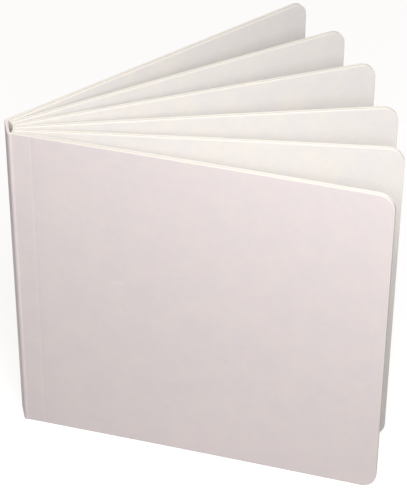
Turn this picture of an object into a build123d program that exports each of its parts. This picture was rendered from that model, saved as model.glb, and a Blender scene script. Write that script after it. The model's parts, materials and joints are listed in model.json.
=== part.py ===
from build123d import *
from math import cos, radians, sin, tan
import os

# A blank board book, standing on its bottom edges with its six boards fanned open.
#
# How the real one is made: each page sheet is card folded once, and the sheets are glued back to
# back, so a leaf is the half of one sheet on the half of the next. One more sheet wraps round the
# outside. It is glued to the first and last half sheets, which makes the two covers, and it is
# loose from the page folds between them, which leaves a hollow behind the folds at the spine.
# All boards but the back cover have warped a little, with their fore edges towards the front.
#
# Frame, in millimetres: +X from the spine towards the fore edges, +Y from the front cover towards
# the back cover, +Z up. The origin is on the ground, under the middle of the book's outer box.

# The sheets
BOARD_WIDTH = 203.0  # from the gutter to the fore edge
BOARD_HEIGHT = 197.0
PLY = 1.25  # one sheet of card
CORNER_RADIUS = 9.0  # the two rounded fore-edge corners of every board
BOARD_BOW = 0.8  # how far a warped board's middle stands off the line from gutter to fore edge

# The fan: each board's direction from the spine, from +X towards +Y, in degrees
FRONT_COVER_ANGLE = -27.1
LEAF_ANGLES = (-15.6, -5.1, 7.0, 17.2)  # first leaf to last leaf
BACK_COVER_ANGLE = 27.1

# The spine
HOLLOW_DEPTH = 2.1  # free space between the spine panel and the middle page fold
SPINE_CORNER_RADIUS = 2.0  # outside of the cover sheet's two folds
SPINE_SIDE_FLAT = 0.1  # least flat left past each of those folds
PAGE_FOLD_CRUSH = 0.15  # how much tighter than one ply each page fold is pressed

# Clearances of the two cover hinges
HINGE_GAP = 0.3  # between a hinge line and the pieces it joins, and inside each cover's gutter
ROOT_LEAN = 12.0  # how far a cover's root edge leans back, in degrees, so that the cover can shut

BOARD_THICKNESS = 2 * PLY
PAGE_FOLD_RADIUS = PLY - PAGE_FOLD_CRUSH
UP = (0, 0, 1)
SQUARE = 90.0


def across(angle, distance):
    """The step of this length, square to a board at this angle, towards the back cover."""
    return Vector(-sin(radians(angle)), cos(radians(angle))) * distance


def face_line(start, end, bow):
    """One face of a board in plan: a shallow arc, or a straight line on a board with no bow."""
    if bow == 0:
        return Line(start, end)
    middle = ((start[0] + end[0]) / 2, start[1] + bow)
    return ThreePointArc(start, middle, end)


def board(low, high, root_low=0.0, root_high=0.0, bow=0.0):
    """A board along +X with its gutter at the origin, between the faces y = low and y = high."""
    outline = [
        face_line((root_low, low), (BOARD_WIDTH, low), bow),
        Line((BOARD_WIDTH, low), (BOARD_WIDTH, high)),
        face_line((BOARD_WIDTH, high), (root_high, high), bow),
        Line((root_high, high), (root_low, low)),
    ]
    slab = extrude(make_face(outline), BOARD_HEIGHT, dir=UP)
    fore_corners = slab.edges().filter_by(Axis.Y).group_by(Axis.X)[-1]
    return fillet(fore_corners, CORNER_RADIUS)


def placed(solid, corner, angle):
    """The board turned to its angle, with its gutter corner moved to this point."""
    return Pos(corner.X, corner.Y) * Rot(0, 0, angle) * solid


def page_fold(gutter, lower_angle, upper_angle):
    """The folded back of one page sheet: a round sector behind the gutter of two boards."""
    start_angle = upper_angle + SQUARE
    arc_size = lower_angle - SQUARE + 360 - start_angle
    arc = CenterArc(gutter, PAGE_FOLD_RADIUS, start_angle, arc_size)
    sector = make_face([arc, Line(arc @ 1, gutter), Line(gutter, arc @ 0)])
    return extrude(sector, BOARD_HEIGHT, dir=UP)


def gutter_points():
    """The gutter lines in plan, front to back. Each leaf's root edge spans two of them."""
    points = [Vector(0, 0)]
    for angle in LEAF_ANGLES:
        points.append(points[-1] + across(angle, BOARD_THICKNESS))
    return points


def build_leaves(gutters):
    """The four inner leaves, one solid: boards joined by the folded backs of their sheets."""
    block = None
    for gutter, angle in zip(gutters, LEAF_ANGLES):
        leaf = placed(board(0, BOARD_THICKNESS, bow=BOARD_BOW), gutter, angle)
        block = leaf if block is None else block + leaf
    angles = (FRONT_COVER_ANGLE, *LEAF_ANGLES, BACK_COVER_ANGLE)
    for gutter, lower, upper in zip(gutters, angles[:-1], angles[1:]):
        block += page_fold(gutter, lower, upper)
    return block


def build_front_cover(hinge):
    """The front cover, which turns on the hinge line along its outer face at the spine."""
    lean = BOARD_THICKNESS * tan(radians(ROOT_LEAN))
    cover = board(0, BOARD_THICKNESS, HINGE_GAP, HINGE_GAP + lean, BOARD_BOW)
    return placed(cover, hinge, FRONT_COVER_ANGLE)


def build_back_cover(hinge):
    """The back cover, the mirror image of the front one but flat."""
    lean = BOARD_THICKNESS * tan(radians(ROOT_LEAN))
    cover = board(-BOARD_THICKNESS, 0, HINGE_GAP + lean, HINGE_GAP)
    return placed(cover, hinge, BACK_COVER_ANGLE)


def rounded_channel(low, high, radius):
    """A rectangle in plan between two corners, with the two corners on its spine side rounded."""
    size = high - low
    middle = (low + high) / 2
    outline = Pos(middle.X, middle.Y) * Rectangle(size.X, size.Y)
    if radius <= 0:
        return outline
    return fillet(outline.vertices().group_by(Axis.X)[0], radius)


def build_spine(gutters, front_hinge, back_hinge):
    """The cover sheet's spine: a flat panel whose two folded sides end at the hinge lines."""
    middle_fold = gutters[len(gutters) // 2]
    panel_inside = middle_fold.X - PAGE_FOLD_RADIUS - HOLLOW_DEPTH
    low = Vector(panel_inside - PLY, front_hinge.Y + HINGE_GAP)
    high = Vector(min(front_hinge.X, back_hinge.X), back_hinge.Y - HINGE_GAP)
    outside_radius = min(SPINE_CORNER_RADIUS, high.X - low.X - SPINE_SIDE_FLAT)
    outside = rounded_channel(low, high, outside_radius)
    inside_high = Vector(high.X + PLY, high.Y - PLY)
    inside = rounded_channel(low + Vector(PLY, PLY), inside_high, outside_radius - PLY)
    return extrude(outside - inside, BOARD_HEIGHT, dir=UP)


gutters = gutter_points()
hinge_offset = BOARD_THICKNESS + HINGE_GAP
front_hinge = gutters[0] - across(FRONT_COVER_ANGLE, hinge_offset)
back_hinge = gutters[-1] + across(BACK_COVER_ANGLE, hinge_offset)

book = {
    "front_cover": build_front_cover(front_hinge),
    "leaves": build_leaves(gutters),
    "back_cover": build_back_cover(back_hinge),
    "spine": build_spine(gutters, front_hinge, back_hinge),
}

outer_box = Compound(list(book.values())).bounding_box()
ground_middle = Vector(outer_box.center().X, outer_box.center().Y)

os.makedirs("parts", exist_ok=True)
for name, solid in book.items():
    export_step(Pos(-ground_middle.X, -ground_middle.Y) * solid, f"parts/{name}.step")

print("front hinge line at", front_hinge - ground_middle)
print("back hinge line at", back_hinge - ground_middle)
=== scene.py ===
# %% [markdown]
# # A blank board book, standing fanned open
# The solid model fixes where the two cover hinges are, how wide the spine is and how tall the
# book stands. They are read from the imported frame. The width of the boards and the angles of the
# fan aren't in the frame, so they repeat the solid model's own driving values further down.
# The solid model's box is kept, to compare with the finished book at the end.

# %% Load the frame
import json
import math

import bpy
import numpy as np
from mathutils import Matrix, Vector


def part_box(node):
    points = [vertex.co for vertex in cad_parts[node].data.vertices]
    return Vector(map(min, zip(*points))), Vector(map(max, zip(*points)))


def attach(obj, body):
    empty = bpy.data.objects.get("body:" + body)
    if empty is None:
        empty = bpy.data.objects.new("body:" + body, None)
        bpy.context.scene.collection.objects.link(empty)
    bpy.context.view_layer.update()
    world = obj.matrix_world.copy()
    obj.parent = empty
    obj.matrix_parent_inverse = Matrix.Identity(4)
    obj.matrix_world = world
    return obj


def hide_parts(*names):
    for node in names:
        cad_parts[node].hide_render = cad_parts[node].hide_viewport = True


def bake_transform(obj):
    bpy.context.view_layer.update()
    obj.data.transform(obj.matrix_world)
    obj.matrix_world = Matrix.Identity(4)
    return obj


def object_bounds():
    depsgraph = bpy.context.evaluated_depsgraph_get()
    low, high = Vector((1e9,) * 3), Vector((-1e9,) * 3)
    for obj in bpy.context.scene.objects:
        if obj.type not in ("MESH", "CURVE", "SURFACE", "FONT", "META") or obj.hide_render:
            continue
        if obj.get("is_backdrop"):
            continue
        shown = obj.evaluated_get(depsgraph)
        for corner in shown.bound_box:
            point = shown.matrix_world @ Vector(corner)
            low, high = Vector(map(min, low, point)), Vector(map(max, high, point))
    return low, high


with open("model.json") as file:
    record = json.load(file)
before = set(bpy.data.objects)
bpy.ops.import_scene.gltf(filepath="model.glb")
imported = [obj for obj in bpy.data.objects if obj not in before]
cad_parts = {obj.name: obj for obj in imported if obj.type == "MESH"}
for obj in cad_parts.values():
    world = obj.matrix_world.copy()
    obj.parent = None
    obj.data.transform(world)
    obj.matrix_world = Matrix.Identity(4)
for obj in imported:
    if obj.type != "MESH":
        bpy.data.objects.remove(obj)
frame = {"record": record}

cad_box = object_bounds()
print("the solid model's box", [tuple(round(v, 4) for v in corner) for corner in cad_box])

# %% [markdown]
# ## What a board book is made of
# Each opening of a board book is one sheet of card, folded once with its reading face inside.
# The folded sheets are glued back to back, so every leaf is two plies thick and its fore edge is
# a plain cut edge. One heavier sheet wraps round the outside. It is glued to the first and the
# last page sheet and stays loose behind the folds, which leaves a hollow back.
# The same build is followed here: five page sheets and a cover sheet, each one bent from a flat
# sheet of card. The plies are a hair thinner than half a leaf, so no two glued faces coincide.

# %% Sizes of the card and angles of the fan
MM = 0.001
LEAF = 2.5 * MM
PLY = 1.24 * MM
COVER_PLY = 1.54 * MM
BOARD_WIDTH = 203 * MM
CORNER = 9 * MM
RIM = 0.3 * MM
GLUE_RIM = 0.04 * MM
BOW = 0.5 * MM
HINGE_DEPTH = LEAF + 0.3 * MM
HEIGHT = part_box("leaves")[1].z
BOARD_ANGLES = [math.radians(a) for a in (-27.1, -15.6, -5.1, 7.0, 17.2, 27.1)]
BOW_ANGLES = [8 * BOW / BOARD_WIDTH] * 5 + [0.0]
ROOT_ANGLES = [a + b / 2 for a, b in zip(BOARD_ANGLES, BOW_ANGLES)]


def across(angle):
    return Vector((-math.sin(angle), math.cos(angle), 0))


hinges = {j["name"]: Vector(j["pos_m"]) for j in frame["record"]["behaviour"]["joints"]}
front_hinge = hinges["front_cover_hinge"].copy()
back_hinge = hinges["back_cover_hinge"].copy()
front_hinge.z = 0
back_hinge.z = 0
gutters = [front_hinge + across(BOARD_ANGLES[0]) * HINGE_DEPTH]
for angle in BOARD_ANGLES[1:-1]:
    gutters.append(gutters[-1] + across(angle) * LEAF)
print("height", round(HEIGHT / MM, 2), "mm")
print("gutters (mm)", [(round(g.x / MM, 2), round(g.y / MM, 2)) for g in gutters])
last_face = gutters[-1] + across(BOARD_ANGLES[-1]) * HINGE_DEPTH
print("the fan ends", round((last_face - back_hinge).length / MM, 3), "mm from the back hinge")

# %% [markdown]
# ## A flat sheet of card
# Card for these books is die cut: the fore edge and its two corners are cut in one stroke, and the
# blade leaves a very slightly rounded rim on the outer side. The sheet below is laid flat, with
# x along the card, y into its thickness and z up. Its columns follow the rounded corners, so the
# rim keeps one width all the way round. Every point keeps its flat x, because the folds are
# worked out from it later. The edge faces are marked as cut, for the finish.

# %% Build a flat sheet
RIM_TURNS = [math.radians(a) for a in (30, 60, 90)]


def end_columns(corner, inset, is_cut):
    reach = inset if is_cut else 0.0
    radius = corner - inset if corner else 0.0
    turns = np.linspace(0, math.pi / 2, 9) if corner else np.zeros(1)
    return reach + radius * (1 - np.cos(turns)), inset + radius * (1 - np.sin(turns))


def card_grid(inset, depth, ends, middle, rows):
    (left, left_corner, left_cut), (right, right_corner, right_cut) = ends
    left_in, left_low = end_columns(left_corner, inset, left_cut)
    right_in, right_low = end_columns(right_corner, inset, right_cut)
    x = np.concatenate([-left + left_in, middle, right - right_in[::-1]])
    low = np.concatenate([left_low, np.full(len(middle), inset), right_low[::-1]])
    z = low[:, None] + rows[None, :] * (HEIGHT - 2 * low[:, None])
    return np.stack([np.broadcast_to(x[:, None], z.shape), np.full(z.shape, depth), z], -1)


def perimeter(columns, rows):
    loop = [(i, 0) for i in range(columns)]
    loop += [(columns - 1, j) for j in range(1, rows)]
    loop += [(i, rows - 1) for i in range(columns - 2, -1, -1)]
    loop += [(0, j) for j in range(rows - 2, 0, -1)]
    return loop


def card_sheet(name, ply, ends, spots, groove=None):
    (left, left_corner, _), (right, right_corner, _) = ends
    first = -left + left_corner + 0.05 * MM
    last = right - right_corner - 0.05 * MM
    even = np.linspace(first, last, max(2, int((last - first) / (8 * MM))))
    inside = [s for s in spots if first < s < last]
    middle = np.unique(np.round(np.concatenate([even, inside]), 7))
    lip = 0.8 * MM / HEIGHT
    rows = np.concatenate([[0, lip], np.linspace(0, 1, 26)[1:-1], [1 - lip, 1]])

    face = card_grid(RIM, 0.0, ends, middle, rows)
    if groove:
        place, half_width, depth = groove
        near = np.clip(np.abs(face[..., 0] - place) / half_width, 0, 1)
        face[..., 1] += depth * (0.5 + 0.5 * np.cos(math.pi * near))
    back = card_grid(GLUE_RIM, ply, ends, middle, rows)
    columns, row_count = face.shape[:2]
    loop = perimeter(columns, row_count)
    steps = [(RIM * (1 - math.sin(t)), RIM * (1 - math.cos(t))) for t in RIM_TURNS]
    steps.append((0.0, ply - GLUE_RIM))
    rings = []
    for inset, depth in steps:
        grid = card_grid(inset, depth, ends, middle, rows)
        rings.append(np.array([grid[i, j] for i, j in loop]))

    grid_size = columns * row_count
    vertices = np.concatenate([face.reshape(-1, 3)] + rings + [back.reshape(-1, 3)])
    back_start = grid_size + len(loop) * len(rings)
    faces = []
    for i in range(columns - 1):
        for j in range(row_count - 1):
            a, b = i * row_count + j, (i + 1) * row_count + j
            faces.append((a, b, b + 1, a + 1))
            faces.append(tuple(back_start + n for n in (a + 1, b + 1, b, a)))
    loops = [[i * row_count + j for i, j in loop]]
    loops += [[grid_size + r * len(loop) + n for n in range(len(loop))] for r in range(len(rings))]
    loops.append([back_start + i * row_count + j for i, j in loop])
    for inner, outer in zip(loops, loops[1:]):
        for n in range(len(loop)):
            m = (n + 1) % len(loop)
            faces.append((inner[n], outer[n], outer[m], inner[m]))

    mesh = bpy.data.meshes.new(name)
    mesh.from_pydata(vertices.tolist(), [], faces)
    mesh.attributes.new("along", "FLOAT", "POINT").data.foreach_set("value", vertices[:, 0])
    cut = np.zeros(len(vertices))
    cut[grid_size:back_start] = 1
    mesh.attributes.new("cut", "FLOAT", "POINT").data.foreach_set("value", cut)
    uv = mesh.uv_layers.new(name="Card")
    corners = np.empty(len(mesh.loops), dtype=np.int32)
    mesh.loops.foreach_get("vertex_index", corners)
    uv.data.foreach_set("uv", vertices[corners][:, [0, 2]].ravel())
    mesh.polygons.foreach_set("use_smooth", [True] * len(mesh.polygons))
    mesh.update()
    obj = bpy.data.objects.new(name, mesh)
    bpy.context.scene.collection.objects.link(obj)
    print(name, "flat:", round((left + right) / MM, 1), "mm long,", len(faces) * 2, "triangles")
    return obj


# %% [markdown]
# ## One operator for every fold
# A fold and a gentle bow are the same thing with different radii: the card wraps round a line
# that stands beside it. The tree below does that to the stretch of card that starts at Start and
# is Length long, and carries whatever lies beyond it along stiffly. Side says which way along the
# card it works. Bends are put on from the outside of the sheet inwards, so each one moves what is
# already shaped without bending it again.

# %% Geometry Nodes tree that bends card
def add(tree, kind, inputs=None, **settings):
    node = tree.nodes.new(kind)
    for key, value in settings.items():
        setattr(node, key, value)
    for key, value in (inputs or {}).items():
        if isinstance(value, bpy.types.NodeSocket):
            tree.links.new(value, node.inputs[key])
        else:
            node.inputs[key].default_value = value
    return node


def maths(tree, operation, a, b):
    return add(tree, "ShaderNodeMath", {0: a, 1: b}, operation=operation).outputs[0]


def vectors(tree, operation, a, b):
    return add(tree, "ShaderNodeVectorMath", {0: a, 1: b}, operation=operation).outputs[0]


def bend_tree():
    tree = bpy.data.node_groups.new("Bend card", "GeometryNodeTree")
    face = tree.interface
    face.new_socket("Geometry", in_out="INPUT", socket_type="NodeSocketGeometry")
    for name in ("Start", "Length", "Side", "Angle", "Centre depth"):
        face.new_socket(name, in_out="INPUT", socket_type="NodeSocketFloat")
    face.new_socket("Material", in_out="INPUT", socket_type="NodeSocketMaterial")
    face.new_socket("Geometry", in_out="OUTPUT", socket_type="NodeSocketGeometry")
    given = tree.nodes.new("NodeGroupInput").outputs
    flat = add(tree, "GeometryNodeInputNamedAttribute", {"Name": "along"}, data_type="FLOAT")
    past_start = maths(tree, "SUBTRACT", flat.outputs["Attribute"], given["Start"])
    past_start = maths(tree, "MULTIPLY", past_start, given["Side"])
    wrapped = maths(tree, "MAXIMUM", past_start, 0.0)
    wrapped = maths(tree, "MINIMUM", wrapped, given["Length"])
    share = maths(tree, "DIVIDE", wrapped, given["Length"])
    angle = maths(tree, "MULTIPLY", share, given["Angle"])
    back_by = maths(tree, "MULTIPLY", wrapped, given["Side"])
    slide = add(tree, "ShaderNodeCombineXYZ", {"X": back_by}).outputs[0]
    position = tree.nodes.new("GeometryNodeInputPosition").outputs[0]
    pulled = vectors(tree, "SUBTRACT", position, slide)
    centre = {"X": given["Start"], "Y": given["Centre depth"]}
    centre = add(tree, "ShaderNodeCombineXYZ", centre).outputs[0]
    turned = {"Vector": pulled, "Center": centre, "Angle": angle}
    turned = add(tree, "ShaderNodeVectorRotate", turned, rotation_type="Z_AXIS").outputs[0]
    moved = {"Geometry": given["Geometry"], "Position": turned}
    moved = add(tree, "GeometryNodeSetPosition", moved).outputs[0]
    real = add(tree, "GeometryNodeRealizeInstances", {"Geometry": moved}).outputs[0]
    painted = {"Geometry": real, "Material": given["Material"]}
    painted = add(tree, "GeometryNodeSetMaterial", painted).outputs[0]
    tree.links.new(painted, tree.nodes.new("NodeGroupOutput").inputs["Geometry"])
    return tree


BEND = bend_tree()
SOCKETS = {s.name: s.identifier for s in BEND.interface.items_tree if s.in_out == "INPUT"}
print("bend inputs", SOCKETS)

# %% [markdown]
# ## The finish: coated card
# The card is white board with a thin clay coating on the reading side, unprinted here. It is
# matt, so light leaves it evenly in every direction, with only a faint sheen at grazing angles.
# The coating is never perfectly even: it is a little warmer and cooler in patches about 14 mm
# across, with a finer mottle of a few millimetres. Pressed fibres give a very low relief. It is
# drawn about 0.9 mm across, coarser than real fibres, so that it still shows from a step away.
# The cut edge has no coating, so the creamier and rougher core of the card shows there.
# The cover sheet is the same card a little heavier. Its colour is made a touch pinker and greyer all
# over, which is painted shade for the outside of the cover. A small rub mark sits half way up the
# front cover, 56 mm out from its hinge.

# %% Coated card materials
def linear(code):
    parts = [int(code[i:i + 2], 16) / 255 for i in (1, 3, 5)]
    parts = [p / 12.92 if p <= 0.04045 else ((p + 0.055) / 1.055) ** 2.4 for p in parts]
    return (*parts, 1.0)


def mixed(tree, share, a, b, blend="MIX"):
    node = add(tree, "ShaderNodeMix", data_type="RGBA", blend_type=blend)
    for key, value in ((0, share), (6, a), (7, b)):
        if isinstance(value, bpy.types.NodeSocket):
            tree.links.new(value, node.inputs[key])
        else:
            node.inputs[key].default_value = value
    return node.outputs[2]


def spread(tree, value, low, high, to_low, to_high):
    ends = {"Value": value, "From Min": low, "From Max": high, "To Min": to_low, "To Max": to_high}
    return add(tree, "ShaderNodeMapRange", ends).outputs["Result"]


def coated_card(name, warm, cool, core, rub_mark=None):
    material = bpy.data.materials.new(name)
    material.use_nodes = True
    tree = material.node_tree
    shader = tree.nodes["Principled BSDF"]
    place = tree.nodes.new("ShaderNodeTexCoord").outputs["Object"]
    patches = {"Vector": place, "Scale": 1 / (14 * MM), "Detail": 2.0}
    patches = add(tree, "ShaderNodeTexNoise", patches).outputs[0]
    patches = spread(tree, patches, 0.35, 0.65, 0.0, 1.0)
    colour = mixed(tree, patches, linear(warm), linear(cool))
    mottle = {"Vector": place, "Scale": 1 / (4 * MM), "Detail": 3.0, "Roughness": 0.6}
    mottle = add(tree, "ShaderNodeTexNoise", mottle).outputs[0]
    mottle = spread(tree, mottle, 0.3, 0.7, 0.975, 1.0)
    shade = add(tree, "ShaderNodeCombineColor", {0: mottle, 1: mottle, 2: mottle}).outputs[0]
    colour = mixed(tree, 1.0, colour, shade, "MULTIPLY")
    roughness = spread(tree, patches, 0.0, 1.0, 0.52, 0.6)
    if rub_mark:
        (x, z), (half_x, half_z) = rub_mark
        card = add(tree, "ShaderNodeUVMap", uv_map="Card").outputs[0]
        parts = add(tree, "ShaderNodeSeparateXYZ", {0: card}).outputs
        off_x = maths(tree, "DIVIDE", maths(tree, "SUBTRACT", parts[0], x), half_x)
        off_z = maths(tree, "DIVIDE", maths(tree, "SUBTRACT", parts[1], z), half_z)
        square = maths(tree, "ADD", maths(tree, "POWER", off_x, 2.0), maths(tree, "POWER", off_z, 2.0))
        grain = {"Vector": place, "Scale": 1 / (1.5 * MM), "Detail": 2.0}
        grain = add(tree, "ShaderNodeTexNoise", grain).outputs[0]
        inside = spread(tree, square, 0.2, 1.0, 1.0, 0.0)
        rubbed = maths(tree, "MULTIPLY", inside, spread(tree, grain, 0.35, 0.6, 0.1, 0.7))
        colour = mixed(tree, rubbed, colour, linear("#F6F2F0"))
    cut = add(tree, "ShaderNodeAttribute", attribute_name="cut").outputs["Fac"]
    colour = mixed(tree, cut, colour, linear(core))
    roughness = add(tree, "ShaderNodeMix", {0: cut, 2: roughness, 3: 0.88}).outputs[0]
    fibres = {"Vector": place, "Scale": 1 / (0.9 * MM), "Detail": 2.0}
    fibres = add(tree, "ShaderNodeTexNoise", fibres).outputs[0]
    relief = {"Strength": 0.12, "Distance": 0.05 * MM, "Height": fibres}
    relief = add(tree, "ShaderNodeBump", relief).outputs[0]
    tree.links.new(colour, shader.inputs["Base Color"])
    tree.links.new(roughness, shader.inputs["Roughness"])
    tree.links.new(relief, shader.inputs["Normal"])
    shader.inputs["IOR"].default_value = 1.5
    return material


page_card = coated_card("coated_card_pages", "#F4F1EC", "#F1EEED", "#F3EFE6")
rub = ((56 * MM, 111 * MM), (4.5 * MM, 1.6 * MM))
# The two cover colours are painted shade: greyer and pinker than the page card, for the outside of the
# cover and the spine. The front cover also carries the rub mark.
cover_card_painted_shade = coated_card("coated_card_cover_painted_shade", "#F0E7E6", "#EEE5E7", "#F1ECE3")
front_card_rub_and_painted_shade = coated_card("coated_card_front_cover_rub_and_painted_shade", "#F0E7E6", "#EEE5E7", "#F1ECE3", rub)
print("materials", [m.name for m in (page_card, cover_card_painted_shade, front_card_rub_and_painted_shade)])


# %% [markdown]
# ## Bend a sheet and set it in its place
# The folded sheet is worked out once and kept as a plain mesh. It is then turned and slid, so its
# own fold point lands on the gutter or the hinge line of the solid model.

# %% Bend and settle
def bend(obj, material, start, length, side, angle, centre):
    modifier = obj.modifiers.new("bend", "NODES")
    modifier.node_group = BEND
    given = {"Start": start, "Length": length, "Side": side, "Angle": angle, "Centre depth": centre}
    for name, value in given.items():
        modifier[SOCKETS[name]] = float(value)
    modifier[SOCKETS["Material"]] = material


def settle(obj, turn, local, place):
    shaped = obj.evaluated_get(bpy.context.evaluated_depsgraph_get())
    mesh = bpy.data.meshes.new_from_object(shaped)
    obj.modifiers.clear()
    obj.data = mesh
    there = Matrix.Translation(place) @ Matrix.Rotation(turn, 4, "Z")
    mesh.transform(there @ Matrix.Translation(-local))
    mesh.update()
    points = np.array([v.co for v in mesh.vertices]) / MM
    print(obj.name, "box", np.round(points.min(0), 1), np.round(points.max(0), 1))
    return obj


# %% [markdown]
# ## Five page sheets
# Each sheet is scored and folded tight, so its two reading faces meet in a sharp gutter and the
# outside of the fold stays round. Its lower half is the top of one board and its upper half is
# the bottom of the next. The boards are not quite flat: glued card keeps a
# slight bow, drawn here as half a millimetre. The gutter is placed on the solid model's gutter.
# The first and last sheets are glued to the covers, so on the real book they bend in the gutter as a
# cover opens. Here they stay where they are built, outside the book block.

# %% Page sheets
FOLD = 0.03 * MM
pages = []
for k in range(5):
    lower, upper = ROOT_ANGLES[k], ROOT_ANGLES[k + 1]
    turn = math.pi - (upper - lower)
    fold_length = (FOLD + PLY / 2) * turn
    fold_start = -fold_length / 2
    tangent = FOLD * math.tan(turn / 2)
    reach = fold_length / 2 + BOARD_WIDTH - tangent
    spots = list(np.linspace(fold_start, -fold_start, 13))
    spots += [s * (fold_length / 2 + d * MM) for s in (-1, 1) for d in (0.4, 1, 2, 4)]
    end = (reach, CORNER, True)
    sheet = card_sheet(f"page_sheet_{k + 1}", PLY, (end, end), spots)
    for root, side, bow in ((fold_start, -1, BOW_ANGLES[k]), (-fold_start, 1, BOW_ANGLES[k + 1])):
        if bow:
            bend(sheet, page_card, root, BOARD_WIDTH, side, -bow, -side * BOARD_WIDTH / bow)
    bend(sheet, page_card, fold_start, fold_length, 1, -turn, -FOLD)
    local = Vector((fold_start + tangent, 0, 0))
    settle(sheet, lower + math.pi, local, gutters[k])
    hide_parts("leaves")
    pages.append(sheet)

for sheet in pages[1:4]:
    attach(sheet, "book_block")
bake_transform(pages[0])
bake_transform(pages[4])

# %% [markdown]
# ## The cover sheet
# The cover is one sheet on the real book, scored twice at the spine and once more on each board
# beside it, where it flexes. It is built as three pieces that meet at the two hinge lines: a
# spine with rounded corners and a board on each side. Each board piece starts with the tight
# outward fold of the hinge, which opens and closes with the cover. The second score, a shallow
# groove 10 mm out, is what a cover sheet shows on its face.

# %% Cover sheet
VALLEY = 0.1 * MM
STUB = 0.1 * MM
SCORE_AT = 10.2 * MM
SCORE_HALF = 0.7 * MM
SCORE_DEPTH = 0.06 * MM


def cover_board(name, index, side, material, hinge, node):
    angle = ROOT_ANGLES[index]
    valley_length = (VALLEY + COVER_PLY / 2) * abs(angle)
    tangent = VALLEY * math.tan(abs(angle) / 2)
    inner = (valley_length + STUB, 0, False)
    outer = (BOARD_WIDTH, CORNER, True)
    ends = (inner, outer) if side > 0 else (outer, inner)
    spots = [-side * valley_length * n / 5 for n in range(6)] + [side * d * MM for d in (0.5, 1.5, 4)]
    spots += [side * SCORE_AT + SCORE_HALF * n / 3 for n in range(-3, 4)]
    sheet = card_sheet(name, COVER_PLY, ends, spots, (side * SCORE_AT, SCORE_HALF, SCORE_DEPTH))
    bow = BOW_ANGLES[index]
    if bow:
        bend(sheet, material, 0, BOARD_WIDTH, side, -side * bow, -side * BOARD_WIDTH / bow)
    bend(sheet, material, 0, valley_length, -side, -angle, -VALLEY)
    turn = angle if side > 0 else angle + math.pi
    settle(sheet, turn, Vector((-side * tangent, 0, 0)), hinge)
    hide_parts(node)
    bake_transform(sheet)
    return sheet


cover_board("cover_front_card", 0, 1, front_card_rub_and_painted_shade, front_hinge, "front_cover")
cover_board("cover_back_card", 5, -1, cover_card_painted_shade, back_hinge, "back_cover")

# %% [markdown]
# The spine panel stands clear of the folds behind it. Its two corners are rolled, not creased.
# The outside radius is a little under 2 mm and the card keeps its thickness round the corner.

# %% Spine panel
SPINE_RADIUS = 1.9 * MM
spine_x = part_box("spine")[0].x
half_width = (back_hinge.y - front_hinge.y) / 2
flat_half = half_width - SPINE_RADIUS
arc = (SPINE_RADIUS - COVER_PLY / 2) * math.pi / 2
front_flange = front_hinge.x - 0.15 * MM - (spine_x + SPINE_RADIUS)
back_flange = back_hinge.x - 0.15 * MM - (spine_x + SPINE_RADIUS)
spots = [s * (flat_half + arc * n / 9) for s in (-1, 1) for n in range(10)]
spots += [s * flat_half * n / 4 for s in (-1, 1) for n in range(4)]
ends = ((flat_half + arc + back_flange, 0, False), (flat_half + arc + front_flange, 0, False))
spine = card_sheet("spine_card", COVER_PLY, ends, spots)
for side in (1, -1):
    bend(spine, cover_card_painted_shade, side * flat_half, arc, side, side * math.pi / 2, SPINE_RADIUS)
middle = Vector((spine_x, (front_hinge.y + back_hinge.y) / 2, 0))
settle(spine, -math.pi / 2, Vector((0, 0, 0)), middle)
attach(spine, "book_block")
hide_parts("spine")
print("flanges (mm)", round(front_flange / MM, 3), round(back_flange / MM, 3))

# %% [markdown]
# ## Floor, background and light
# The book stands on a white table. The camera sees the table as plain white with the shadow kept,
# while light that bounces off it comes from an ordinary pale surface, so it stays in proportion.
# One soft lamp, half a metre across, hangs high in front of the book. It reaches the top of the
# front cover more strongly than the bottom, as a window would, and leaves the back in shade. The
# room's own light is weak and slightly warm and fills the shade.

# %% Table, room and lamp
TABLE_HALF = 3.0
TABLE_COLOUR = (0.42, 0.41, 0.4, 1)
TABLE_GLOW = 0.78
ROOM_COLOUR = (1.0, 0.96, 0.95, 1)
ROOM_STRENGTH = 0.28
WHITE = (1, 1, 1, 1)
scene = bpy.context.scene
scene.view_settings.view_transform = "Standard"


def seen_directly(tree):
    ray = tree.nodes.new("ShaderNodeLightPath").outputs
    seen = maths(tree, "MAXIMUM", ray["Is Camera Ray"], ray["Is Glossy Ray"])
    return maths(tree, "MAXIMUM", seen, ray["Is Transmission Ray"])


table_mesh = bpy.data.meshes.new("table")
table_corners = [(x * TABLE_HALF, y * TABLE_HALF, 0) for x, y in ((-1, -1), (1, -1), (1, 1), (-1, 1))]
table_mesh.from_pydata(table_corners, [], [(0, 1, 2, 3)])
table = bpy.data.objects.new("table", table_mesh)
scene.collection.objects.link(table)
table_white = bpy.data.materials.new("matt_white_table")
table_white.use_nodes = True
tree = table_white.node_tree
tree.nodes.clear()
seen = seen_directly(tree)
plain = add(tree, "ShaderNodeBsdfDiffuse", {"Color": TABLE_COLOUR}).outputs[0]
glow = add(tree, "ShaderNodeEmission", {"Color": WHITE, "Strength": TABLE_GLOW}).outputs[0]
lit = add(tree, "ShaderNodeBsdfDiffuse", {"Color": TABLE_COLOUR}).outputs[0]
bright = add(tree, "ShaderNodeAddShader", {0: glow, 1: lit}).outputs[0]
both = add(tree, "ShaderNodeMixShader", {0: seen, 1: plain, 2: bright}).outputs[0]
tree.links.new(both, tree.nodes.new("ShaderNodeOutputMaterial").inputs[0])
table_mesh.materials.append(table_white)
table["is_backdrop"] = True

world = bpy.data.worlds.new("room")
scene.world = world
world.use_nodes = True
tree = world.node_tree
tree.nodes.clear()
seen = seen_directly(tree)
fill = {"Color": ROOM_COLOUR, "Strength": ROOM_STRENGTH}
fill = add(tree, "ShaderNodeBackground", fill).outputs[0]
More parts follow.
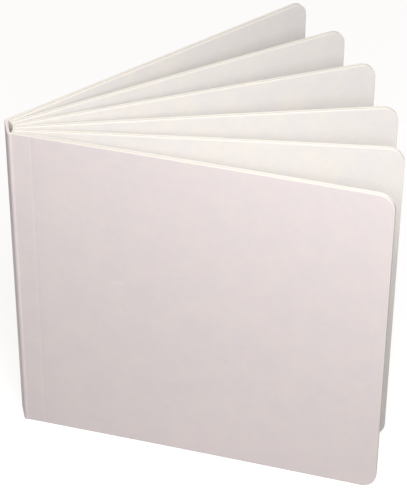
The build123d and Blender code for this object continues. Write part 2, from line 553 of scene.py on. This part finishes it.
white = add(tree, "ShaderNodeBackground", {"Color": WHITE, "Strength": 1.0}).outputs[0]
both = add(tree, "ShaderNodeMixShader", {0: seen, 1: fill, 2: white}).outputs[0]
tree.links.new(both, tree.nodes.new("ShaderNodeOutputWorld").inputs[0])

lamp_data = bpy.data.lights.new("soft_lamp", "AREA")
lamp_data.shape = "DISK"
lamp_data.size = 0.5
lamp_data.energy = 4.0
lamp_data.color = (1.0, 0.985, 0.975)
lamp = bpy.data.objects.new("soft_lamp", lamp_data)
lamp.location = (-0.02, -0.42, 0.6)
aim = Vector((0.0, 0.0, 0.12)) - lamp.location
lamp.rotation_euler = aim.to_track_quat("-Z", "Y").to_euler()
scene.collection.objects.link(lamp)
print("lamp", lamp_data.energy, "W at", tuple(lamp.location))

# %% [markdown]
# ## Camera
# A long lens stands about 1.2 m away, 37 degrees above the table and 11 degrees round from the
# front of the book. Its place was worked out from where the book's own corners have to fall.

# %% Camera
LENS_PER_HEIGHT = 2073.6 / 488
azimuth, elevation, roll = (math.radians(a) for a in (-11.217, 36.726, -0.316))
right = Vector((math.cos(azimuth), math.sin(azimuth), 0))
back = Vector((math.sin(azimuth), -math.cos(azimuth), 0)) * math.cos(elevation)
back.z = math.sin(elevation)
up = back.cross(right)
axes = Matrix((right, up, back)).transposed().to_4x4() @ Matrix.Rotation(-roll, 4, "Z")
camera_data = bpy.data.cameras.new("camera")
camera_data.sensor_width = 36
camera_data.lens = LENS_PER_HEIGHT * 36
camera_data.clip_end = 20
camera = bpy.data.objects.new("camera", camera_data)
camera.matrix_world = Matrix.Translation((-0.1772, -0.9042, 0.7937)) @ axes
scene.collection.objects.link(camera)
scene.camera = camera
print("lens", round(camera_data.lens, 1), "mm")

# %% [markdown]
# ## Compare with the solid model and finish
# The finished book's box is printed beside the solid model's.

# %% Sizes and finish
new_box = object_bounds()
cad_sides = np.subtract(*[list(c) for c in cad_box[::-1]])
new_sides = np.subtract(*[list(c) for c in new_box[::-1]])
print("sides against the solid model's", np.round(new_sides / cad_sides, 4))
